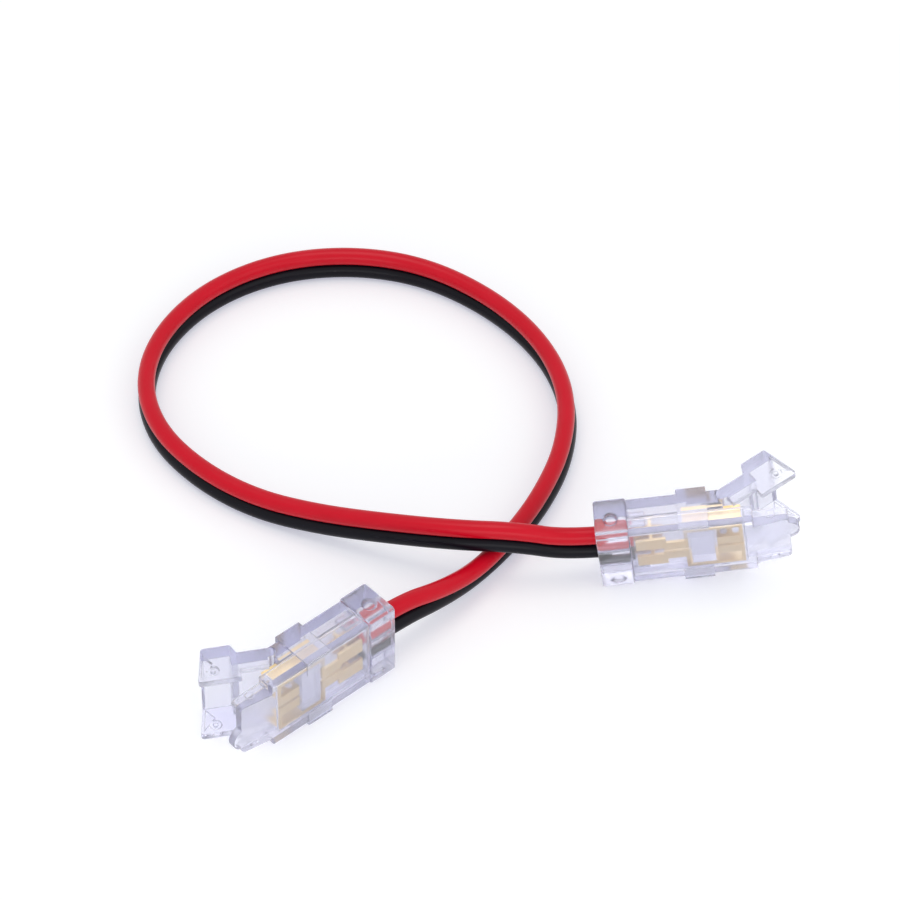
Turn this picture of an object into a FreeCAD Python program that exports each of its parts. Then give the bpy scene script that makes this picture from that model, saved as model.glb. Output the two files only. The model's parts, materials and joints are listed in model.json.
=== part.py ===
import FreeCAD, Part
import math
import os

# Strip-to-strip jumper: two clear snap-jaw connectors for narrow light strip,
# joined by a short red and black twin lead. Millimetres, +Z up, floor at Z = 0.
# Each connector stands on its long side with its jaw swung open.
#
# Each connector is drawn in its own axes and then placed:
#   X runs from the wire end to the nose, Y from the base face to the cover face,
#   Z across the width, from 0 to WIDTH.

# Housing sizes
WIDTH = 8.2
THICK = 4.4
BASE_H = 2.1
CLAMP_L = 3.25
WALL = 0.9
POCKET_FLOOR = 1.1
TIP_TAPER = 0.55
TIP_SHORT = 0.1
TIP_R = 0.45
WALL_GAP = 0.25
EDGE_R = 0.25

# Wire clamp block
CLAMP_SIDE = 0.25
CLAMP_FACE = 0.12
CLAMP_R = 0.4
TONGUE_L = 1.75
TONGUE_T = 0.6
TONGUE_GAP = 0.1
EYE_R = 0.65
EYE_DEPTH = 0.3
EYE_Y = 1.95

# Raised band of the cover
BAND_START = 8.2
BAND_L = 3.0
BAND_RAISE = 0.3
HOOK_W = 1.5
ROOF = 1.0
BAR_START = 9.15
BAR_L = 2.35
BAR_GAP = 0.05

# Jaw and its neck
NECK_X = 12.75
NECK_R = 0.6
NECK_GAP = 0.1
ARM_L = 3.0
RAMP_L = 0.5
HEAD_L = 2.85
HEAD_STEP = 1.1
HEAD_WALL = 0.7
HEAD_LEAN = 0.95
HEAD_R = 0.3
CHEEK_DEPTH = 4.3
CHEEK_T = 0.75
CHEEK_R = 0.35
CHEEK_GAP = 0.2
SKIRT_GAP = 0.1
RECESS = 0.3

# Round boss and three-cornered window on each cheek, from the head's leaning end and top
BOSS_R = 0.6
BOSS_PIN_R = 0.25
BOSS_BACK = 1.4
BOSS_DROP = 3.0
WINDOW_EDGE = 0.3
WINDOW_TOP = 0.95
WINDOW_FOOT = 3.6
WINDOW_BACK = 1.3
WINDOW_POINT = 2.1

# Nose of the near jaw
NOSE_R = 1.3
NOSE_OUT = 1.0
NOSE_OFFSET = 1.2
NUB_R = 0.45
NUB_OUT = 0.12

# Light strip that the jaws take
STRIP_W = 5.0
STRIP_GAP = 0.15

# Contacts, stamped from sheet
SHEET = 0.3
CONTACT_START = 3.8
CONTACT_WIDE_L = 3.0
CONTACT_NARROW_L = 2.15
CONTACT_INNER = 0.5
CONTACT_WIDE = 1.55
CONTACT_NARROW_INNER = 0.18
CONTACT_NARROW = 1.15
LINK_L = 0.35
FLANGE_H = 1.9
FLANGE_GAP = 0.15
PLATE_GAP = 0.3
PLATE_END_GAP = 0.2
TOOTH_H = 1.0
VALLEY_R = 0.35
VALLEY_FLOOR = 0.1
VALLEY_SHARES = (0.27, 0.73)
FORK_X = 5.2
FORK_W = 1.3
FORK_RISE = 0.5
SLOT_GAP = 0.02

# Twin lead. Each arc takes ARC_SHARE of the shorter of the two runs beside it.
WIRE_D = 1.8
WIRE_PITCH = 1.82
BORE_PITCH = 2.3
BORE_GAP = 0.03
CORE_R = 0.38
CORE_GAP = 0.03
WIRE_DEPTH = 2.4
WIRE_IN = 3.6
CORE_IN = 5.7
CORE_TIP_L = 0.9
CORE_TIP_R = 0.12
EXIT_RUN = 2.6
ARC_SHARE = 0.45

# Where each connector stands: place of its corner at Z = 0, and its turns in degrees
RIGHT_AT = (9.72, 7.35)
RIGHT_TURN = 1.7
RIGHT_PITCH = 7.2
RIGHT_ROLL = 8.6
RIGHT_OPEN = 31.0
LEFT_AT = (-10.77, -3.43)
LEFT_TURN = 221.7
LEFT_OPEN = 30.0

# Route of the twin lead's middle, from the left connector to the right one, and how
# far the pair leans over there, in degrees, with red to the right of its run.
# Chosen by hand; the ends are worked out from the two clamps.
ROUTE = [
    (-6.36, 3.6, 3.0, 12.0),
    (-2.96, 7.5, 1.83, 20.0),
    (0.54, 12.2, 1.83, 10.0),
    (3.64, 17.5, 1.83, 0.0),
    (6.14, 24.3, 1.83, -6.0),
    (6.74, 32.0, 1.83, -8.0),
    (4.44, 39.4, 1.83, -4.0),
    (-0.56, 46.1, 1.83, 0.0),
    (-7.86, 51.4, 1.83, 0.0),
    (-15.86, 53.2, 1.83, 0.0),
    (-23.96, 52.0, 1.83, 0.0),
    (-30.96, 47.7, 1.83, 0.0),
    (-35.56, 41.1, 1.83, 0.0),
    (-37.06, 33.9, 1.83, 0.0),
    (-35.26, 27.0, 1.83, 0.0),
    (-30.76, 21.3, 1.83, 0.0),
    (-25.06, 17.2, 1.83, 0.0),
    (-18.66, 14.4, 2.5, 0.0),
    (-11.86, 11.6, 4.1, 0.0),
    (-4.86, 9.4, 5.4, 0.0),
    (1.14, 8.6, 5.9, 0.0),
]

MIDDLE = WIDTH / 2.0
NECK_Y = THICK - NECK_R
STRIP_FLOOR = POCKET_FLOOR + SHEET
STRIP_HALF = STRIP_W / 2.0 + STRIP_GAP
POCKET_HALF = MIDDLE - WALL
WIRE_R = WIRE_D / 2.0
BORE_R = WIRE_R + BORE_GAP
HEAD_START = NECK_X + ARM_L + RAMP_L
HEAD_END = HEAD_START + HEAD_L
WALL_END = NECK_X + ARM_L - WALL_GAP
TIP_END = HEAD_END - TIP_SHORT
POCKET_END = WALL_END - WALL
HEAD_TOP = THICK + HEAD_STEP
CHEEK_FOOT = HEAD_TOP - CHEEK_DEPTH
TIP_SIDE = CHEEK_T + CHEEK_GAP
BAR_END = BAR_START + BAR_L
CAVITY_TOP = THICK - ROOF
PLATE_START = BAR_END + PLATE_GAP
PLATE_END = POCKET_END - PLATE_END_GAP
OVER = 1.0


def vec(x, y, z):
    return FreeCAD.Vector(x, y, z)


def block(x0, x1, y0, y1, z0, z1):
    return Part.makeBox(x1 - x0, y1 - y0, z1 - z0, vec(x0, y0, z0))


def long_edges(shape):
    # The edges that run along X.
    found = []
    for edge in shape.Edges:
        ends = edge.Vertexes
        if len(ends) == 2:
            run = ends[1].Point.sub(ends[0].Point)
            if abs(run.y) + abs(run.z) < 1e-6:
                found.append(edge)
    return found


def edges_at(shape, **place):
    # The edges whose ends all lie at the given values of X, Y or Z.
    found = []
    for edge in shape.Edges:
        away = [abs(getattr(end, axis) - value) for end in edge.Vertexes for axis, value in place.items()]
        if max(away) < 1e-6:
            found.append(edge)
    return found


def rounded_block(x0, x1, y0, y1, z0, z1, radius):
    shape = block(x0, x1, y0, y1, z0, z1)
    return shape.makeFillet(radius, long_edges(shape))


def prism(points, z0, z1):
    # An outline in X and Y, raised from z0 to z1.
    corners = [vec(x, y, z0) for x, y in points]
    face = Part.Face(Part.makePolygon(corners + corners[:1]))
    return face.extrude(vec(0, 0, z1 - z0))


def rod(x, y, radius, z0, z1):
    return Part.makeCylinder(radius, z1 - z0, vec(x, y, z0), vec(0, 0, 1))


def head_x(drop, back=0.0):
    # How far out the head's leaning end lies, drop below its top, less back.
    return HEAD_END + HEAD_LEAN * drop / CHEEK_DEPTH - back


def mirrored(shape):
    # The same shape on the other side of the connector's middle.
    return shape.mirror(vec(0, 0, MIDDLE), vec(0, 0, 1))


def both_sides(shape):
    return [shape, mirrored(shape)]


def cut_all(shape, tools):
    for tool in tools:
        shape = shape.cut(tool)
    return shape


def make_base():
    # Lower shell: a tray for the contacts, then the narrow near jaw with its rounded nose.
    tray = rounded_block(CLAMP_L, WALL_END, 0, BASE_H, 0, WIDTH, EDGE_R)
    outline = [
        (WALL_END - OVER, 0),
        (WALL_END, 0),
        (TIP_END, TIP_TAPER),
        (TIP_END, BASE_H),
        (WALL_END - OVER, BASE_H),
    ]
    tip = prism(outline, TIP_SIDE, WIDTH - TIP_SIDE)
    tip = tip.makeFillet(
        TIP_R, edges_at(tip, X=TIP_END, Z=TIP_SIDE) + edges_at(tip, X=TIP_END, Z=WIDTH - TIP_SIDE))
    nose_x = TIP_END + NOSE_OUT - NOSE_R
    nose = Part.makeCylinder(
        NOSE_R, BASE_H - TIP_TAPER, vec(nose_x, TIP_TAPER, MIDDLE + NOSE_OFFSET), vec(0, 1, 0))
    nub_x = (WALL_END + TIP_END) / 2.0
    nub_y = (TIP_TAPER + BASE_H) / 2.0
    nubs = rod(nub_x, nub_y, NUB_R, TIP_SIDE - NUB_OUT, WIDTH - TIP_SIDE + NUB_OUT)
    solid = tray.multiFuse([tip, nose, nubs])
    pocket = block(
        CLAMP_L - OVER, POCKET_END, POCKET_FLOOR, BASE_H + OVER,
        MIDDLE - POCKET_HALF, MIDDLE + POCKET_HALF)
    channel = block(
        POCKET_END - OVER, TIP_END + NOSE_OUT + OVER, STRIP_FLOOR, BASE_H + OVER,
        MIDDLE - STRIP_HALF, MIDDLE + STRIP_HALF)
    return cut_all(solid, [pocket, channel]).removeSplitter()


def make_cover():
    # Upper shell: roof and walls over the tray, a bar between the contacts,
    # and a raised band whose two legs snap down over the tray's sides and hook under it.
    shell = rounded_block(CLAMP_L, NECK_X, BASE_H, THICK, 0, WIDTH, EDGE_R)
    band = block(
        BAND_START, BAND_START + BAND_L, BASE_H, THICK + BAND_RAISE,
        -CLAMP_SIDE, WIDTH + CLAMP_SIDE)
    leg = block(BAND_START, BAND_START + BAND_L, -CLAMP_FACE, BASE_H + BAND_RAISE, -CLAMP_SIDE, 0)
    hook = block(BAND_START, BAND_START + BAND_L, -CLAMP_FACE, 0, -CLAMP_SIDE, HOOK_W)
    solid = shell.multiFuse([band] + both_sides(leg) + both_sides(hook))
    cavity = block(
        CLAMP_L - OVER, BAR_START, BASE_H - OVER, CAVITY_TOP,
        MIDDLE - POCKET_HALF, MIDDLE + POCKET_HALF)
    front = block(
        BAR_END, NECK_X + OVER, BASE_H - OVER, NECK_Y - NECK_R - NECK_GAP,
        MIDDLE - POCKET_HALF, MIDDLE + POCKET_HALF)
    flange_top = POCKET_FLOOR + FLANGE_H
    slot = block(
        BAR_START - OVER, BAR_END + OVER, BASE_H - OVER, flange_top + FLANGE_GAP,
        MIDDLE + POCKET_HALF - SHEET - 2.0 * FLANGE_GAP, MIDDLE + POCKET_HALF)
    groove = rod(NECK_X, NECK_Y, NECK_R + NECK_GAP, -OVER, WIDTH + OVER)
    solid = cut_all(solid, [cavity, front, groove] + both_sides(slot))
    bar_half = POCKET_HALF - SHEET - 2.0 * FLANGE_GAP
    bar = block(
        BAR_START, BAR_END, POCKET_FLOOR + BAR_GAP, CAVITY_TOP, MIDDLE - bar_half, MIDDLE + bar_half)
    return solid.fuse(bar).removeSplitter()


def make_jaw():
    # Far jaw, drawn shut: round neck, flat arm with skirts, and a stepped head
    # whose two cheeks close down past the near jaw's tip.
    under = NECK_Y - NECK_R
    step_x = NECK_X + ARM_L
    neck = rod(NECK_X, NECK_Y, NECK_R, 0, WIDTH)
    foot_x = head_x(CHEEK_DEPTH)
    arm = prism(
        [(NECK_X, under), (head_x(HEAD_TOP - under), under), (HEAD_END, HEAD_TOP),
         (HEAD_START, HEAD_TOP), (step_x, THICK), (NECK_X, THICK)], 0, WIDTH)
    arm = arm.makeFillet(
        HEAD_R, edges_at(arm, X=HEAD_START, Y=HEAD_TOP) + edges_at(arm, X=HEAD_END, Y=HEAD_TOP))
    cheek = prism(
        [(step_x, THICK), (step_x, CHEEK_FOOT), (foot_x, CHEEK_FOOT), (head_x(HEAD_STEP), THICK)],
        0, CHEEK_T)
    cheek = cheek.makeFillet(CHEEK_R, edges_at(cheek, X=foot_x, Y=CHEEK_FOOT))
    skirt = block(NECK_X + 2.0 * SKIRT_GAP, step_x + SKIRT_GAP, BASE_H + SKIRT_GAP, THICK, 0, CHEEK_T)
    solid = neck.multiFuse([arm] + both_sides(cheek) + both_sides(skirt))
    hollow = block(
        step_x + HEAD_WALL, foot_x + OVER, under - OVER, THICK, CHEEK_T, WIDTH - CHEEK_T)
    boss_x = head_x(BOSS_DROP, BOSS_BACK)
    boss_y = HEAD_TOP - BOSS_DROP
    ring = rod(boss_x, boss_y, BOSS_R, -OVER, RECESS)
    ring = ring.cut(rod(boss_x, boss_y, BOSS_PIN_R, -OVER, RECESS))
    corners = ((WINDOW_TOP, WINDOW_EDGE), (WINDOW_FOOT, WINDOW_EDGE), (WINDOW_POINT, WINDOW_BACK))
    window = prism([(head_x(drop, back), HEAD_TOP - drop) for drop, back in corners], -OVER, RECESS)
    solid = cut_all(solid, [hollow] + both_sides(ring) + both_sides(window))
    return solid.removeSplitter()


def make_clamp():
    # Wire clamp: the slightly larger block at the wire end, with a bore for each wire
    # and two tongues that slide inside the shells.
    body = rounded_block(
        0, CLAMP_L, -CLAMP_FACE, THICK + CLAMP_FACE, -CLAMP_SIDE, WIDTH + CLAMP_SIDE, CLAMP_R)
    tongue_z = MIDDLE + POCKET_HALF - TONGUE_GAP
    tongue = block(
        CLAMP_L - OVER, CLAMP_L + TONGUE_L, STRIP_FLOOR + TONGUE_GAP, CAVITY_TOP - TONGUE_GAP,
        tongue_z - TONGUE_T, tongue_z)
    solid = body.multiFuse(both_sides(tongue))
    eye = rod(CLAMP_L / 2.0, EYE_Y, EYE_R, -CLAMP_SIDE - OVER, EYE_DEPTH - CLAMP_SIDE)
    bore = Part.makeCylinder(
        BORE_R, CLAMP_L + 2.0 * OVER, vec(-OVER, WIRE_DEPTH, MIDDLE + BORE_PITCH / 2.0), vec(1, 0, 0))
    return cut_all(solid, both_sides(eye) + both_sides(bore)).removeSplitter()


def make_contact():
    # One stamped contact, on the upper side: stepped plate, wire fork, side flange
    # and a plate whose edge is turned up into a comb that pierces the strip's pad.
    low = POCKET_FLOOR
    top = POCKET_FLOOR + SHEET
    narrow_x = CONTACT_START + CONTACT_WIDE_L
    link_end = narrow_x + CONTACT_NARROW_L
    outer = MIDDLE + POCKET_HALF - FLANGE_GAP
    wire_z = MIDDLE + BORE_PITCH / 2.0
    inner = MIDDLE + CONTACT_INNER
    near = MIDDLE + CONTACT_NARROW_INNER
    far = near + CONTACT_NARROW
    wide = block(CONTACT_START, narrow_x, low, top, inner, inner + CONTACT_WIDE)
    narrow = block(narrow_x - SHEET, link_end, low, top, near, far)
    link = block(link_end - LINK_L, link_end, low, top, near, outer)
    flange = block(link_end - LINK_L, PLATE_END, low, low + FLANGE_H, outer - SHEET, outer)
    end_link = block(PLATE_END - LINK_L, PLATE_END, low, top, near, outer)
    plate = block(PLATE_START, PLATE_END, low, top, near, far)
    comb = block(PLATE_START, PLATE_END, low, top + TOOTH_H, far - SHEET, far)
    for share in VALLEY_SHARES:
        x = PLATE_START + share * (PLATE_END - PLATE_START)
        y = top + VALLEY_FLOOR + VALLEY_R
        valley = block(x - VALLEY_R, x + VALLEY_R, y, top + TOOTH_H + OVER, far - SHEET - OVER, far + OVER)
        comb = cut_all(comb, [valley, rod(x, y, VALLEY_R, far - SHEET - OVER, far + OVER)])
    fork = block(
        FORK_X, FORK_X + SHEET, low, WIRE_DEPTH + FORK_RISE,
        wire_z - FORK_W / 2.0, wire_z + FORK_W / 2.0)
    slot_half = CORE_R + SLOT_GAP
    slot = block(
        FORK_X - OVER, FORK_X + SHEET + OVER, WIRE_DEPTH - slot_half, WIRE_DEPTH + FORK_RISE + OVER,
        wire_z - slot_half, wire_z + slot_half)
    fork = fork.cut(slot)
    return wide.multiFuse([narrow, link, flange, end_link, plate, comb, fork]).removeSplitter()


def turned(axis, degrees):
    return FreeCAD.Placement(vec(0, 0, 0), FreeCAD.Rotation(axis, degrees))


def right_placement():
    # The right connector leans: its nose is lifted and its cover side is raised,
    # so that it touches the floor at one corner of its clamp.
    turn = turned(vec(0, 0, 1), RIGHT_TURN)
    pitch = turned(vec(0, 1, 0), -RIGHT_PITCH)
    roll = turned(vec(1, 0, 0), RIGHT_ROLL)
    tilt = turn.multiply(pitch).multiply(roll)
    corner = tilt.multVec(vec(0, -CLAMP_FACE, -CLAMP_SIDE))
    return FreeCAD.Placement(vec(RIGHT_AT[0], RIGHT_AT[1], -corner.z), tilt.Rotation)


def left_placement():
    # The left connector lies flat on its side, turned over about its length.
    flip = turned(vec(1, 0, 0), 180.0)
    turn = turned(vec(0, 0, 1), LEFT_TURN)
    stand = turn.multiply(flip)
    return FreeCAD.Placement(vec(LEFT_AT[0], LEFT_AT[1], WIDTH + CLAMP_SIDE), stand.Rotation)


def route_points(offset):
    # The route of one wire, offset from the pair's middle as the pair leans.
    points = []
    for index, (x, y, z, lean) in enumerate(ROUTE):
        before = ROUTE[max(index - 1, 0)]
        after = ROUTE[min(index + 1, len(ROUTE) - 1)]
        heading = math.atan2(after[1] - before[1], after[0] - before[0])
        aside = offset * math.sin(math.radians(lean))
        up = offset * math.cos(math.radians(lean))
        points.append(vec(x + aside * math.sin(heading), y - aside * math.cos(heading), z + up))
    return points


def lead_points(sign, length_in):
    # Middle line of one wire: red has sign +1 and runs above black.
    left = left_placement()
    right = right_placement()
    lift = sign * BORE_PITCH / 2.0
    points = [
        left.multVec(vec(length_in, WIRE_DEPTH, MIDDLE - lift)),
        left.multVec(vec(-EXIT_RUN, WIRE_DEPTH, MIDDLE - lift)),
    ]
    points += route_points(sign * WIRE_PITCH / 2.0)
    points += [
        right.multVec(vec(-EXIT_RUN, WIRE_DEPTH, MIDDLE + lift)),
        right.multVec(vec(length_in, WIRE_DEPTH, MIDDLE + lift)),
    ]
    return points


def lead_path(points):
    # Straight runs joined by tangent arcs.
    edges = []
    radii = []
    start = points[0]
    for before, corner, after in zip(points, points[1:], points[2:]):
        to_before = before.sub(corner)
        to_after = after.sub(corner)
        reach = ARC_SHARE * min(to_before.Length, to_after.Length)
        to_before.normalize()
        to_after.normalize()
        half_turn = (math.pi - to_before.getAngle(to_after)) / 2.0
        radius = reach / math.tan(half_turn)
        radii.append(radius)
        first = corner + to_before * reach
        last = corner + to_after * reach
        inward = to_before + to_after
        inward.normalize()
        middle = corner + inward * (radius / math.cos(half_turn) - radius)
        edges.append(Part.LineSegment(start, first).toShape())
        edges.append(Part.Arc(first, middle, last).toShape())
        start = last
    edges.append(Part.LineSegment(start, points[-1]).toShape())
    return Part.Wire(edges), radii


def ring_face(at, direction, outer, inner):
    face = Part.Face(Part.Wire(Part.makeCircle(outer, at, direction)))
    if inner:
        face = face.cut(Part.Face(Part.Wire(Part.makeCircle(inner, at, direction)))).Faces[0]
    return face


def sweep(points, outer, inner=0.0):
    path, radii = lead_path(points)
    direction = points[1].sub(points[0])
    tube = path.makePipe(ring_face(points[0], direction, outer, inner))
    if tube.ShapeType != "Solid":
        tube = tube.Solids[0]
    if tube.Volume < 0:
        tube.reverse()
    section = math.pi * (outer ** 2 - inner ** 2)
    print("length %.2f" % path.Length, "volume share %.5f" % (tube.Volume / (section * path.Length)),
          "valid", tube.isValid(), "radii", [round(radius, 1) for radius in radii])
    return tube


def make_insulation(sign):
    return sweep(lead_points(sign, WIRE_IN), WIRE_R, CORE_R + CORE_GAP)


def make_conductor(sign):
    # Stranded core, whose bare ends are twisted to a point inside the housings.
    points = lead_points(sign, CORE_IN)
    core = sweep(points, CORE_R)
    tips = []
    for end, before in ((points[0], points[1]), (points[-1], points[-2])):
        tips.append(Part.makeCone(CORE_R, CORE_TIP_R, CORE_TIP_L, end, end.sub(before)))
    return core.multiFuse(tips).removeSplitter()


def single(shape):
    solids = shape.Solids
    if len(solids) != 1:
        raise ValueError("expected one solid, found %d" % len(solids))
    return solids[0]


def save(name, shape):
    shape.exportStep("parts/%s.step" % name)


def save_connector(side, placement, opening, red_is_upper):
    jaw = make_jaw()
    jaw.rotate(vec(NECK_X, NECK_Y, 0), vec(0, 0, 1), opening)
    contact = make_contact()
    upper, lower = ("red", "black") if red_is_upper else ("black", "red")
    pieces = {
        "base": make_base(),
        "cover": make_cover(),
        "jaw": jaw,
        "wire_clamp": make_clamp(),
        upper + "_contact": contact,
        lower + "_contact": mirrored(contact),
    }
    for name, shape in pieces.items():
        placed = single(shape)
        placed.Placement = placement.multiply(placed.Placement)
        save("%s_%s" % (side, name), placed)
        print(side, name, "volume %.3f" % placed.Volume, "valid", placed.isValid(), placed.BoundBox)


def main():
    os.makedirs("parts", exist_ok=True)
    save_connector("left", left_placement(), LEFT_OPEN, False)
    save_connector("right", right_placement(), RIGHT_OPEN, True)
    for colour, sign in (("red", 1), ("black", -1)):
        save(colour + "_insulation", make_insulation(sign))
        save(colour + "_conductor", single(make_conductor(sign)))


main()
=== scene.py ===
import json
import math
import bmesh
import bpy
from mathutils import Matrix, Vector


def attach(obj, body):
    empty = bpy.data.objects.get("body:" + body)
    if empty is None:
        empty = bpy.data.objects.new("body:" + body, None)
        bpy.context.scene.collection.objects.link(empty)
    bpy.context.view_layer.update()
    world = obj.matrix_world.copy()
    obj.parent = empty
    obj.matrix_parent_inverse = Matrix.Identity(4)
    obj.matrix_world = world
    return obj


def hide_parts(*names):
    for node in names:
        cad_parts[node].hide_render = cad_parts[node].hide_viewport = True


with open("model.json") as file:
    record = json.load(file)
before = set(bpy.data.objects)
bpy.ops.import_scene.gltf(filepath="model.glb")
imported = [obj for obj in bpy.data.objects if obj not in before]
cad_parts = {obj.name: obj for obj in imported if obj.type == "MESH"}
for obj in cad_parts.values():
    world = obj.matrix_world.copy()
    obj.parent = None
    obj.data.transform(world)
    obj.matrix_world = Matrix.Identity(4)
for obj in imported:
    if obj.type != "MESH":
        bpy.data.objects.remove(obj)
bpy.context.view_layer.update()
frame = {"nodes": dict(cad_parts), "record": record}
BODIES = frame["record"]["behaviour"]["bodies"]
BODY_OF = {node: body for body, nodes in BODIES.items() for node in nodes}

# A short red and black twin lead with a clear snap-jaw connector on each end.
# Sizes are in millimetres until mm() turns them into metres, and angles are in degrees.

# Connector, in its own axes: X from the wire end to the nose, Y from the base face
# to the cover face, Z across the width. The clamp stands out by CLAMP_SIDE at each side and
# by CLAMP_FACE at both faces.
WIDTH = 8.2
MIDDLE = WIDTH / 2.0
CLAMP_SIDE = 0.25
CLAMP_FACE = 0.12

# Where the wire ends of the two connectors lie on the table, and how they are turned
RIGHT_AT = (9.72, 7.35)
RIGHT_TURN = 1.7
RIGHT_PITCH = 7.2
RIGHT_ROLL = 8.6
LEFT_AT = (-10.77, -3.43)
LEFT_TURN = 221.7

# Twin lead: the wires lie WIRE_PITCH apart in the lead and part to BORE_PITCH in the clamps.
# Each runs WIRE_DEPTH above the base face, reaches WIRE_IN deep into the connector and goes
# EXIT_RUN straight out of it.
WIRE_D = 1.8
WIRE_PITCH = 1.82
BORE_PITCH = 2.3
WIRE_DEPTH = 2.4
WIRE_IN = 3.6
EXIT_RUN = 2.6
LEAD_L = 170.0

# How finely a wire's curve is drawn, round it and from point to point
WIRE_FACETS = 8
WIRE_STEPS = 12

# Middle of the twin lead, from the left connector to the right one, and how far the pair
# leans over there, with red to the right of its run
ROUTE = [
    (-6.36, 3.6, 3.0, 12.0),
    (-2.96, 7.5, 1.83, 20.0),
    (0.54, 12.2, 1.83, 10.0),
    (3.64, 17.5, 1.83, 0.0),
    (6.14, 24.3, 1.83, -6.0),
    (6.74, 32.0, 1.83, -8.0),
    (4.44, 39.4, 1.83, -4.0),
    (-0.56, 46.1, 1.83, 0.0),
    (-7.86, 51.4, 1.83, 0.0),
    (-15.86, 53.2, 1.83, 0.0),
    (-23.96, 52.0, 1.83, 0.0),
    (-30.96, 47.7, 1.83, 0.0),
    (-35.56, 41.1, 1.83, 0.0),
    (-37.06, 33.9, 1.83, 0.0),
    (-35.26, 27.0, 1.83, 0.0),
    (-30.76, 21.3, 1.83, 0.0),
    (-25.06, 17.2, 1.83, 0.0),
    (-18.66, 14.4, 2.5, 0.0),
    (-11.86, 11.6, 4.1, 0.0),
    (-4.86, 9.4, 5.4, 0.0),
    (1.14, 8.6, 5.9, 0.0),
]

# Bare end of a wire: a ring of twisted strands round a middle one. From TAPER_FROM of its
# length on, the ring draws in to STRAND_TIP of its radius.
CORE_R = 0.38
CORE_START = 3.3
CORE_L = 3.2
STRAND_R = 0.13
RING_STRANDS = 6
STRAND_TURNS = 0.8
TAPER_FROM = 0.35
STRAND_TIP = 0.35
STRAND_POINTS = 40
STRAND_SIDES = 10

# Softened edges of the mouldings and the stamped contacts: how wide, below which angle
# neighbouring faces are joined first, and whether inner corners are softened too. Edges
# sharper than SHARP are softened, in EDGE_STEPS steps. Points closer than SAME_POINT are one,
# and faces that meet at less than CREASE are shaded as one.
SHELL_EDGE = {
    "base": (0.1, 5.0, True),
    "cover": (0.037, 0.6, False),
    "jaw": (0.07, 5.0, True),
    "wire_clamp": (0.24, 0.6, True)}
CONTACT_EDGE = (0.03, 0.6, True)
SHARP = 32.0
CREASE = 40.0
EDGE_STEPS = 3
SAME_POINT = 0.02

# Each moulding is shrunk by this much, so that pieces that touch don't share a face
SHELL_GAP = 0.012

# How strongly the clear plastic colours light on its way through, per metre
PLASTIC_DENSITY = 155.0

# Lines drawn into the vinyl by the die: how long and how wide they are
DIE_LINE_L = 21.25
DIE_LINE_W = 0.14

# Sockets of a Mix node that mixes colours
COLOUR_A = 6
COLOUR_B = 7
MIXED = 2

# Camera, in front of the object and looking down at it
CAMERA_TARGET = (-5.46, 26.68, 0.0)
CAMERA_REACH = 500.0
CAMERA_TILT = 45.0
CAMERA_LENS = 196.0
CAMERA_NEAR = 10.0

# White table top, a hair below the object. It lights the object with its plain colour and is
# seen as its shaded colour plus a glow, which come to white where no shadow falls.
FLOOR_DROP = 0.02
FLOOR_HALF = 3000.0
FLOOR_PLAIN = "#e7e7e7"
FLOOR_SHADED = "#e2e3d6"
FLOOR_GLOW = "#9e9daf"

# Light of the room, and soft boxes with their place, size and power in watts
ROOM_COLOUR = "#f9fcff"
ROOM_LIGHT = 0.68
SOFT_BOXES = {
    "softbox_top": ((-60.0, 60.0, 430.0), (260.0, 200.0), 0.37),
    "softbox_front": ((260.0, -200.0, 260.0), (320.0, 320.0), 0.2),
    "softbox_low": ((-40.0, -420.0, 110.0), (420.0, 180.0), 0.46)}

# Light paths, long enough to pass through every wall of a clear connector
CLEAR_BOUNCES = 32
GLOSS_BOUNCES = 16


def mm(*values):
    # Metres from millimetres: a number from one value, a vector from more.
    if len(values) == 1:
        return values[0] / 1000.0
    return Vector([value / 1000.0 for value in values])


def per_mm(size):
    # Texture scale whose features are about size millimetres wide.
    return 1000.0 / size


def hex_colour(text):
    # Linear colour from sRGB hex.
    parts = [int(text[i:i + 2], 16) / 255.0 for i in (1, 3, 5)]
    linear = [
        part / 12.92 if part <= 0.04045 else ((part + 0.055) / 1.055) ** 2.4 for part in parts]
    return (*linear, 1.0)


def add(tree, kind, inputs=None, **settings):
    # Adds a node with its settings, and links or sets its inputs.
    node = tree.nodes.new(kind)
    for name, value in settings.items():
        setattr(node, name, value)
    for name, value in (inputs or {}).items():
        if isinstance(value, bpy.types.NodeSocket):
            tree.links.new(value, node.inputs[name])
        else:
            node.inputs[name].default_value = value
    return node


def new_material(name):
    material = bpy.data.materials.new(name)
    material.use_nodes = True
    tree = material.node_tree
    tree.nodes.clear()
    return material, tree, add(tree, "ShaderNodeOutputMaterial")


def new_object(name, data):
    thing = bpy.data.objects.new(name, data)
    bpy.context.scene.collection.objects.link(thing)
    return thing


def baked(rough):
    # Plain mesh of an object as its modifiers make it. The object itself goes.
    mesh = bpy.data.meshes.new_from_object(
        rough.evaluated_get(bpy.context.evaluated_depsgraph_get()))
    bpy.data.objects.remove(rough)
    return mesh


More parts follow.
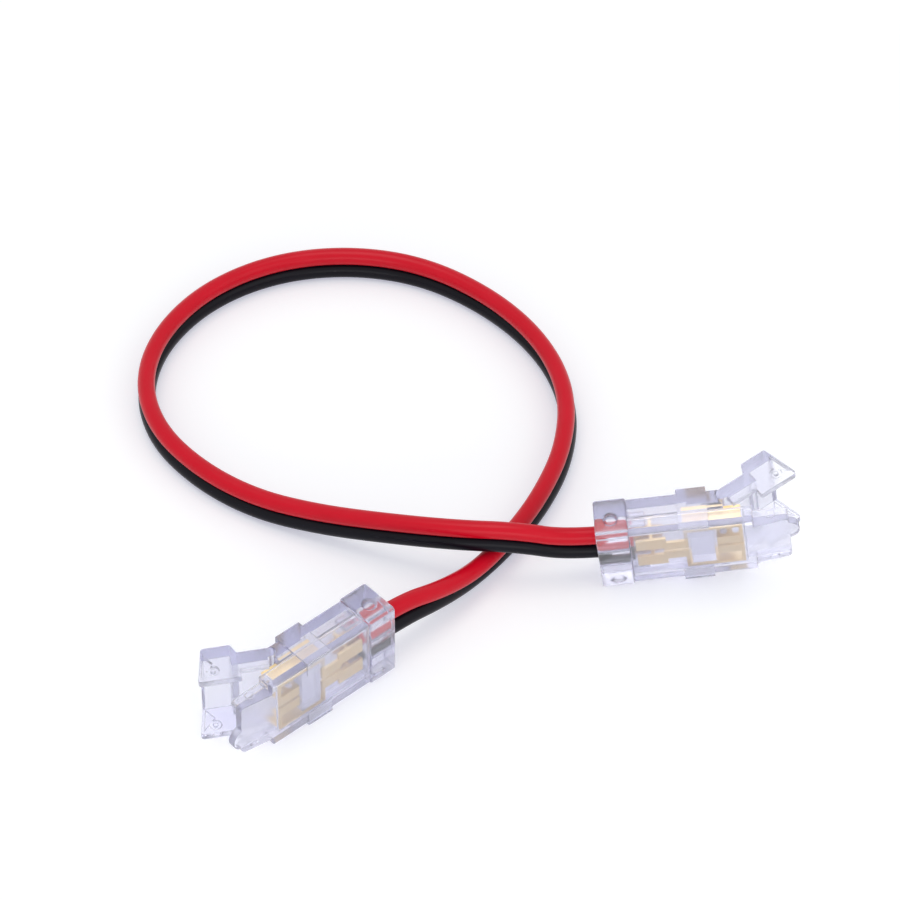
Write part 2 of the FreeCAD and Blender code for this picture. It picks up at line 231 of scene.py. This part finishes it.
def clear_polycarbonate():
    # Clear polycarbonate, injection moulded: a cool lavender cast, polished faces,
    # and slow flow waves that bend what shows through.
    material, tree, output = new_material("clear_polycarbonate")
    at = add(tree, "ShaderNodeTexCoord").outputs["Object"]
    waves = add(tree, "ShaderNodeTexNoise", {"Vector": at, "Scale": per_mm(2.2), "Detail": 1.5})
    haze = add(tree, "ShaderNodeTexNoise", {"Vector": at, "Scale": per_mm(5.0), "Detail": 2.0})
    tint = add(tree, "ShaderNodeMix", {
        "Factor": haze.outputs["Fac"],
        COLOUR_A: hex_colour("#f4f4fb"), COLOUR_B: hex_colour("#fbfbff")},
        data_type="RGBA").outputs[MIXED]
    rough = add(tree, "ShaderNodeMapRange", {
        "Value": haze.outputs["Fac"], "From Min": 0.3, "From Max": 0.7,
        "To Min": 0.15, "To Max": 0.26})
    bump = add(tree, "ShaderNodeBump", {
        "Height": waves.outputs["Fac"], "Distance": mm(0.05), "Strength": 0.35})
    shader = add(tree, "ShaderNodeBsdfPrincipled", {
        "Base Color": tint, "Roughness": rough.outputs["Result"], "IOR": 1.585,
        "Transmission Weight": 0.91, "Normal": bump.outputs["Normal"]})
    lets_light_in = add(tree, "ShaderNodeBsdfTransparent", {"Color": hex_colour("#ececf8")})
    path = add(tree, "ShaderNodeLightPath")
    mix = add(tree, "ShaderNodeMixShader", {"Fac": path.outputs["Is Shadow Ray"]})
    tree.links.new(shader.outputs["BSDF"], mix.inputs[1])
    tree.links.new(lets_light_in.outputs["BSDF"], mix.inputs[2])
    tree.links.new(mix.outputs["Shader"], output.inputs["Surface"])
    depth = add(tree, "ShaderNodeVolumeAbsorption", {
        "Color": hex_colour("#dbdbee"), "Density": PLASTIC_DENSITY})
    tree.links.new(depth.outputs["Volume"], output.inputs["Volume"])
    return material


def plated_contact():
    # Brass sheet, stamped and gold plated: warm pale gold with a fine grain.
    material, tree, output = new_material("gold_plated_brass")
    at = add(tree, "ShaderNodeTexCoord").outputs["Object"]
    grain = add(tree, "ShaderNodeTexNoise", {"Vector": at, "Scale": per_mm(0.35), "Detail": 3.0})
    patches = add(tree, "ShaderNodeTexNoise", {"Vector": at, "Scale": per_mm(2.5), "Detail": 2.0})
    colour = add(tree, "ShaderNodeMix", {
        "Factor": patches.outputs["Fac"],
        COLOUR_A: hex_colour("#ffdd98"), COLOUR_B: hex_colour("#ffedbc")},
        data_type="RGBA").outputs[MIXED]
    rough = add(tree, "ShaderNodeMapRange", {
        "Value": grain.outputs["Fac"], "To Min": 0.34, "To Max": 0.5})
    bump = add(tree, "ShaderNodeBump", {
        "Height": grain.outputs["Fac"], "Distance": mm(0.01), "Strength": 0.4})
    shader = add(tree, "ShaderNodeBsdfPrincipled", {
        "Base Color": colour, "Metallic": 1.0, "Roughness": rough.outputs["Result"],
        "Normal": bump.outputs["Normal"]})
    tree.links.new(shader.outputs["BSDF"], output.inputs["Surface"])
    return material


def bare_copper():
    # Bare copper strands, drawn and twisted by hand: brownish gold with dull patches.
    material, tree, output = new_material("bare_copper_strand")
    at = add(tree, "ShaderNodeTexCoord").outputs["Object"]
    patches = add(tree, "ShaderNodeTexNoise", {"Vector": at, "Scale": per_mm(0.6), "Detail": 3.0})
    colour = add(tree, "ShaderNodeMix", {
        "Factor": patches.outputs["Fac"],
        COLOUR_A: hex_colour("#7a4c22"), COLOUR_B: hex_colour("#eabb78")},
        data_type="RGBA").outputs[MIXED]
    shader = add(tree, "ShaderNodeBsdfPrincipled", {
        "Base Color": colour, "Metallic": 1.0, "Roughness": 0.3})
    tree.links.new(shader.outputs["BSDF"], output.inputs["Surface"])
    return material


def soft_vinyl(name, deep, pale, shine):
    # Soft vinyl, extruded: satin, with faint lines drawn along the wire by the die
    # and slight clouding of the colour.
    material, tree, output = new_material(name)
    coords = add(tree, "ShaderNodeTexCoord")
    clouds = add(tree, "ShaderNodeTexNoise", {
        "Vector": coords.outputs["Object"], "Scale": per_mm(4.0), "Detail": 3.0})
    colour = add(tree, "ShaderNodeMix", {
        "Factor": clouds.outputs["Fac"], COLOUR_A: hex_colour(deep), COLOUR_B: hex_colour(pale)},
        data_type="RGBA").outputs[MIXED]
    # The curve's own map runs from 0 to 1 along the wire and from 0 to 1 round it.
    count_along = LEAD_L / DIE_LINE_L
    count_round = float(round(math.pi * WIRE_D / DIE_LINE_W))
    stretched = add(tree, "ShaderNodeMapping", {
        "Vector": coords.outputs["UV"], "Scale": (count_along, count_round, 1.0)})
    lines = add(tree, "ShaderNodeTexNoise", {
        "Vector": stretched.outputs["Vector"], "Scale": 1.0, "Detail": 2.0})
    bump = add(tree, "ShaderNodeBump", {
        "Height": lines.outputs["Fac"], "Distance": mm(0.03), "Strength": 0.25})
    shader = add(tree, "ShaderNodeBsdfPrincipled", {
        "Base Color": colour, "Roughness": 0.3, "Specular IOR Level": shine,
        "Normal": bump.outputs["Normal"]})
    tree.links.new(shader.outputs["BSDF"], output.inputs["Surface"])
    return material


def turned(axis, degrees):
    return Matrix.Rotation(math.radians(degrees), 4, axis)


def left_placement():
    # Flat on its long side, turned over.
    place = Matrix.Translation(mm(LEFT_AT[0], LEFT_AT[1], WIDTH + CLAMP_SIDE))
    return place @ turned("Z", LEFT_TURN) @ turned("X", 180.0)


def right_placement():
    # Leaning on one corner of its clamp.
    tilt = turned("Z", RIGHT_TURN) @ turned("Y", -RIGHT_PITCH) @ turned("X", RIGHT_ROLL)
    corner = tilt @ mm(0.0, -CLAMP_FACE, -CLAMP_SIDE)
    return Matrix.Translation((mm(RIGHT_AT[0]), mm(RIGHT_AT[1]), -corner.z)) @ tilt


LEFT = left_placement()
RIGHT = right_placement()


def wire_point(placement, along, up):
    # Point on a wire's middle line inside or just outside a connector.
    return placement @ mm(along, WIRE_DEPTH, MIDDLE + up)


def route_points(offset):
    # The route of one wire, offset from the pair's middle as the pair leans.
    points = []
    for index, (x, y, z, lean) in enumerate(ROUTE):
        before = ROUTE[max(index - 1, 0)]
        after = ROUTE[min(index + 1, len(ROUTE) - 1)]
        heading = math.atan2(after[1] - before[1], after[0] - before[0])
        aside = offset * math.sin(math.radians(lean))
        up = offset * math.cos(math.radians(lean))
        points.append(mm(x + aside * math.sin(heading), y - aside * math.cos(heading), z + up))
    return points


def keep_walls_flat(mesh):
    # Smooth shading in which large faces weigh most, so that walls stay flat up to their edges.
    crease = math.radians(CREASE)
    touching = [[] for vertex in mesh.vertices]
    for face in mesh.polygons:
        for corner in face.vertices:
            touching[corner].append(face)
    normals = []
    for face in mesh.polygons:
        for corner in face.vertices:
            normal = Vector()
            for other in touching[corner]:
                if face.normal.angle(other.normal, 0.0) < crease:
                    normal += other.normal * other.area ** 2
            normals.append(normal.normalized())
    mesh.shade_smooth()
    mesh.normals_split_custom_set(normals)


def merged(node, flatness, inner_too):
    # Copy of a node's mesh with its flat faces joined and its sharp edges marked for rounding.
    mesh = frame["nodes"][node].data.copy()
    shape = bmesh.new()
    shape.from_mesh(mesh)
    bmesh.ops.remove_doubles(shape, verts=shape.verts, dist=mm(SAME_POINT))
    bmesh.ops.dissolve_limit(
        shape, angle_limit=math.radians(flatness), verts=shape.verts, edges=shape.edges)
    shape.normal_update()
    weight = shape.edges.layers.float.new("bevel_weight_edge")
    for line in shape.edges:
        if len(line.link_faces) == 2 and line.calc_face_angle() > math.radians(SHARP):
            line[weight] = float(inner_too or line.is_convex)
    shape.to_mesh(mesh)
    shape.free()
    return mesh


def softened(node, rounding, material, gap=0.0):
    # A moulded or stamped piece with rounded edges, shrunk by the gap.
    width, flatness, inner_too = rounding
    mesh = merged(node, flatness, inner_too)
    mesh.materials.clear()
    mesh.materials.append(material)
    rough = new_object(node + "_rough", mesh)
    bevel = rough.modifiers.new("bevel", "BEVEL")
    bevel.width = mm(width)
    bevel.segments = EDGE_STEPS
    bevel.limit_method = "WEIGHT"
    bevel.use_clamp_overlap = False
    bevel.loop_slide = False
    shrink = rough.modifiers.new("gap", "DISPLACE")
    shrink.strength = -mm(gap)
    shrink.mid_level = 0.0
    piece = new_object(node + "_finished", baked(rough))
    keep_walls_flat(piece.data)
    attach(piece, BODY_OF[node])
    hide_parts(node)


def strand_tree(material):
    # Geometry nodes: a ring of strands twisted round a middle one and drawn to a point.
    tree = bpy.data.node_groups.new("twisted strands", "GeometryNodeTree")
    interface = tree.interface
    interface.new_socket("Geometry", in_out="OUTPUT", socket_type="NodeSocketGeometry")
    for name in ("Length", "Strand radius", "Ring radius", "Turns", "Tip share"):
        interface.new_socket(name, in_out="INPUT", socket_type="NodeSocketFloat")
    interface.new_socket("Strands", in_out="INPUT", socket_type="NodeSocketInt")
    given = add(tree, "NodeGroupInput").outputs
    far = add(tree, "ShaderNodeCombineXYZ", {"X": given["Length"]})
    line = add(tree, "GeometryNodeCurvePrimitiveLine", {"End": far.outputs["Vector"]})
    fine = add(tree, "GeometryNodeResampleCurve", {
        "Curve": line.outputs["Curve"], "Count": STRAND_POINTS})
    along = add(tree, "GeometryNodeSplineParameter").outputs["Factor"]
    turns = add(tree, "ShaderNodeMath", {0: along, 1: given["Turns"]}, operation="MULTIPLY")
    angle = add(tree, "ShaderNodeMath", {
        0: turns.outputs[0], 1: math.tau}, operation="MULTIPLY")
    taper = add(tree, "ShaderNodeMapRange", {
        "Value": along, "From Min": TAPER_FROM, "From Max": 1.0,
        "To Min": 1.0, "To Max": given["Tip share"]})
    reach = add(tree, "ShaderNodeMath", {
        0: taper.outputs["Result"], 1: given["Ring radius"]}, operation="MULTIPLY")
    cosine = add(tree, "ShaderNodeMath", {0: angle.outputs[0]}, operation="COSINE")
    sine = add(tree, "ShaderNodeMath", {0: angle.outputs[0]}, operation="SINE")
    side = add(tree, "ShaderNodeMath", {
        0: cosine.outputs[0], 1: reach.outputs[0]}, operation="MULTIPLY")
    rise = add(tree, "ShaderNodeMath", {
        0: sine.outputs[0], 1: reach.outputs[0]}, operation="MULTIPLY")
    offset = add(tree, "ShaderNodeCombineXYZ", {"Y": side.outputs[0], "Z": rise.outputs[0]})
    helix = add(tree, "GeometryNodeSetPosition", {
        "Geometry": fine.outputs["Curve"], "Offset": offset.outputs["Vector"]})
    ring = add(tree, "GeometryNodePoints", {"Count": given["Strands"]})
    index = add(tree, "GeometryNodeInputIndex")
    step = add(tree, "ShaderNodeMath", {0: math.tau, 1: given["Strands"]}, operation="DIVIDE")
    start = add(tree, "ShaderNodeMath", {
        0: index.outputs["Index"], 1: step.outputs[0]}, operation="MULTIPLY")
    spin = add(tree, "ShaderNodeCombineXYZ", {"X": start.outputs[0]})
    copies = add(tree, "GeometryNodeInstanceOnPoints", {
        "Points": ring.outputs["Geometry"], "Instance": helix.outputs["Geometry"],
        "Rotation": spin.outputs["Vector"]})
    whole = add(tree, "GeometryNodeJoinGeometry")
    tree.links.new(copies.outputs["Instances"], whole.inputs["Geometry"])
    tree.links.new(fine.outputs["Curve"], whole.inputs["Geometry"])
    loose = add(tree, "GeometryNodeRealizeInstances", {"Geometry": whole.outputs["Geometry"]})
    circle = add(tree, "GeometryNodeCurvePrimitiveCircle", {
        "Resolution": STRAND_SIDES, "Radius": given["Strand radius"]})
    tube = add(tree, "GeometryNodeCurveToMesh", {
        "Curve": loose.outputs["Geometry"], "Profile Curve": circle.outputs["Curve"],
        "Fill Caps": True})
    smooth = add(tree, "GeometryNodeSetShadeSmooth", {"Geometry": tube.outputs["Mesh"]})
    finish = add(tree, "GeometryNodeSetMaterial", {
        "Geometry": smooth.outputs["Geometry"], "Material": material})
    end = add(tree, "NodeGroupOutput")
    tree.links.new(finish.outputs["Geometry"], end.inputs["Geometry"])
    return tree


def twisted_strands(tree):
    # One plain mesh of strands along +X from the origin.
    rough = new_object("strands_rough", bpy.data.meshes.new("strands_rough"))
    modifier = rough.modifiers.new("strands", "NODES")
    modifier.node_group = tree
    values = {
        "Length": mm(CORE_L), "Strand radius": mm(STRAND_R), "Ring radius": mm(CORE_R - STRAND_R),
        "Turns": STRAND_TURNS, "Tip share": STRAND_TIP, "Strands": RING_STRANDS}
    for socket in tree.interface.items_tree:
        if socket.in_out == "INPUT":
            modifier[socket.identifier] = values[socket.name]
    return baked(rough)


def bare_ends(colour, sign, strands):
    # The stripped ends of one wire, inside both connectors.
    both = bmesh.new()
    for placement, up in ((LEFT, -sign), (RIGHT, sign)):
        part = strands.copy()
        lift = up * BORE_PITCH / 2.0
        part.transform(placement @ Matrix.Translation(mm(CORE_START, WIRE_DEPTH, MIDDLE + lift)))
        both.from_mesh(part)
        bpy.data.meshes.remove(part)
    mesh = bpy.data.meshes.new(colour + "_bare_ends")
    both.to_mesh(mesh)
    both.free()
    for material in strands.materials:
        mesh.materials.append(material)
    piece = new_object(colour + "_bare_ends", mesh)
    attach(piece, "housings")
    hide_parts(colour + "_conductor")
    return piece


def sheathed_wire(colour, sign, material, ends):
    # One wire of the twin lead, as one smooth curve through the lead's route.
    lift = sign * BORE_PITCH / 2.0
    points = [wire_point(LEFT, WIRE_IN, -lift), wire_point(LEFT, -EXIT_RUN, -lift)]
    points += route_points(sign * WIRE_PITCH / 2.0)
    points += [wire_point(RIGHT, -EXIT_RUN, lift), wire_point(RIGHT, WIRE_IN, lift)]
    curve = bpy.data.curves.new(colour + "_wire", "CURVE")
    curve.dimensions = "3D"
    curve.bevel_depth = mm(WIRE_D / 2.0)
    curve.bevel_resolution = WIRE_FACETS
    curve.use_fill_caps = True
    spline = curve.splines.new("NURBS")
    spline.points.add(len(points) - 1)
    for place, point in zip(spline.points, points):
        place.co = (*point, 1.0)
    spline.order_u = 3
    spline.use_endpoint_u = True
    spline.resolution_u = WIRE_STEPS
    curve.materials.append(material)
    piece = new_object(colour + "_wire", curve)
    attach(piece, "housings")
    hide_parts(colour + "_insulation")


def place_camera():
    target = mm(*CAMERA_TARGET)
    tilt = math.radians(CAMERA_TILT)
    camera = new_object("camera", bpy.data.cameras.new("camera"))
    camera.data.lens = CAMERA_LENS
    camera.data.clip_start = mm(CAMERA_NEAR)
    camera.location = target + mm(CAMERA_REACH) * Vector((0.0, -math.cos(tilt), math.sin(tilt)))
    camera.rotation_euler = (math.pi / 2.0 - tilt, 0.0, 0.0)
    bpy.context.scene.camera = camera


def shows_background(tree):
    # 1 for rays that see the background: from the camera, off gloss and through clear plastic.
    path = add(tree, "ShaderNodeLightPath")
    first = add(tree, "ShaderNodeMath", {
        0: path.outputs["Is Camera Ray"], 1: path.outputs["Is Glossy Ray"]}, operation="MAXIMUM")
    both = add(tree, "ShaderNodeMath", {
        0: first.outputs[0], 1: path.outputs["Is Transmission Ray"]}, operation="MAXIMUM")
    return both.outputs[0]


def lay_floor():
    # White table top, laminate: plain and matt, with the object's faintly lavender shadow.
    mesh = bpy.data.meshes.new("floor")
    half = mm(FLOOR_HALF)
    level = -mm(FLOOR_DROP)
    corners = [(-half, -half, level), (half, -half, level), (half, half, level), (-half, half, level)]
    mesh.from_pydata(corners, [], [(0, 1, 2, 3)])
    floor = new_object("floor", mesh)
    material, tree, output = new_material("white_table_top")
    plain = add(tree, "ShaderNodeBsdfDiffuse", {"Color": hex_colour(FLOOR_PLAIN)})
    shaded = add(tree, "ShaderNodeBsdfDiffuse", {"Color": hex_colour(FLOOR_SHADED)})
    glow = add(tree, "ShaderNodeEmission", {"Color": hex_colour(FLOOR_GLOW), "Strength": 1.0})
    seen = add(tree, "ShaderNodeAddShader")
    tree.links.new(shaded.outputs["BSDF"], seen.inputs[0])
    tree.links.new(glow.outputs["Emission"], seen.inputs[1])
    mix = add(tree, "ShaderNodeMixShader", {"Fac": shows_background(tree)})
    tree.links.new(plain.outputs["BSDF"], mix.inputs[1])
    tree.links.new(seen.outputs["Shader"], mix.inputs[2])
    tree.links.new(mix.outputs["Shader"], output.inputs["Surface"])
    mesh.materials.append(material)


def light_world():
    # Even light from all round, seen as white.
    world = bpy.data.worlds.new("studio")
    bpy.context.scene.world = world
    world.use_nodes = True
    tree = world.node_tree
    tree.nodes.clear()
    output = add(tree, "ShaderNodeOutputWorld")
    room = add(tree, "ShaderNodeBackground", {
        "Color": hex_colour(ROOM_COLOUR), "Strength": ROOM_LIGHT})
    white = add(tree, "ShaderNodeBackground", {"Color": hex_colour("#ffffff"), "Strength": 1.0})
    mix = add(tree, "ShaderNodeMixShader", {"Fac": shows_background(tree)})
    tree.links.new(room.outputs["Background"], mix.inputs[1])
    tree.links.new(white.outputs["Background"], mix.inputs[2])
    tree.links.new(mix.outputs["Shader"], output.inputs["Surface"])


def add_soft_box(name, place, size, power):
    # Area lamp that faces the object.
    lamp = bpy.data.lights.new(name, "AREA")
    lamp.shape = "RECTANGLE"
    lamp.size = mm(size[0])
    lamp.size_y = mm(size[1])
    lamp.energy = power
    soft_box = new_object(name, lamp)
    soft_box.location = mm(*place)
    aim = mm(*CAMERA_TARGET) - soft_box.location
    soft_box.rotation_euler = aim.to_track_quat("-Z", "Y").to_euler()


place_camera()
lay_floor()
light_world()
for name, (place, size, power) in SOFT_BOXES.items():
    add_soft_box(name, place, size, power)

plastic = clear_polycarbonate()
gold = plated_contact()
copper = bare_copper()
red_vinyl = soft_vinyl("red_soft_vinyl", "#c8041e", "#d60e28", 0.2)
black_vinyl = soft_vinyl("black_soft_vinyl", "#08070f", "#100e19", 0.15)

for side in ("left", "right"):
    for part, rounding in SHELL_EDGE.items():
        softened(side + "_" + part, rounding, plastic, SHELL_GAP)
    for colour in ("red", "black"):
        softened(side + "_" + colour + "_contact", CONTACT_EDGE, gold)

strands = twisted_strands(strand_tree(copper))
for colour, sign, vinyl in (("red", 1, red_vinyl), ("black", -1, black_vinyl)):
    sheathed_wire(colour, sign, vinyl, bare_ends(colour, sign, strands))

scene = bpy.context.scene
scene.view_settings.view_transform = "Standard"
scene.cycles.max_bounces = CLEAR_BOUNCES
scene.cycles.transmission_bounces = CLEAR_BOUNCES
scene.cycles.transparent_max_bounces = CLEAR_BOUNCES
scene.cycles.glossy_bounces = GLOSS_BOUNCES
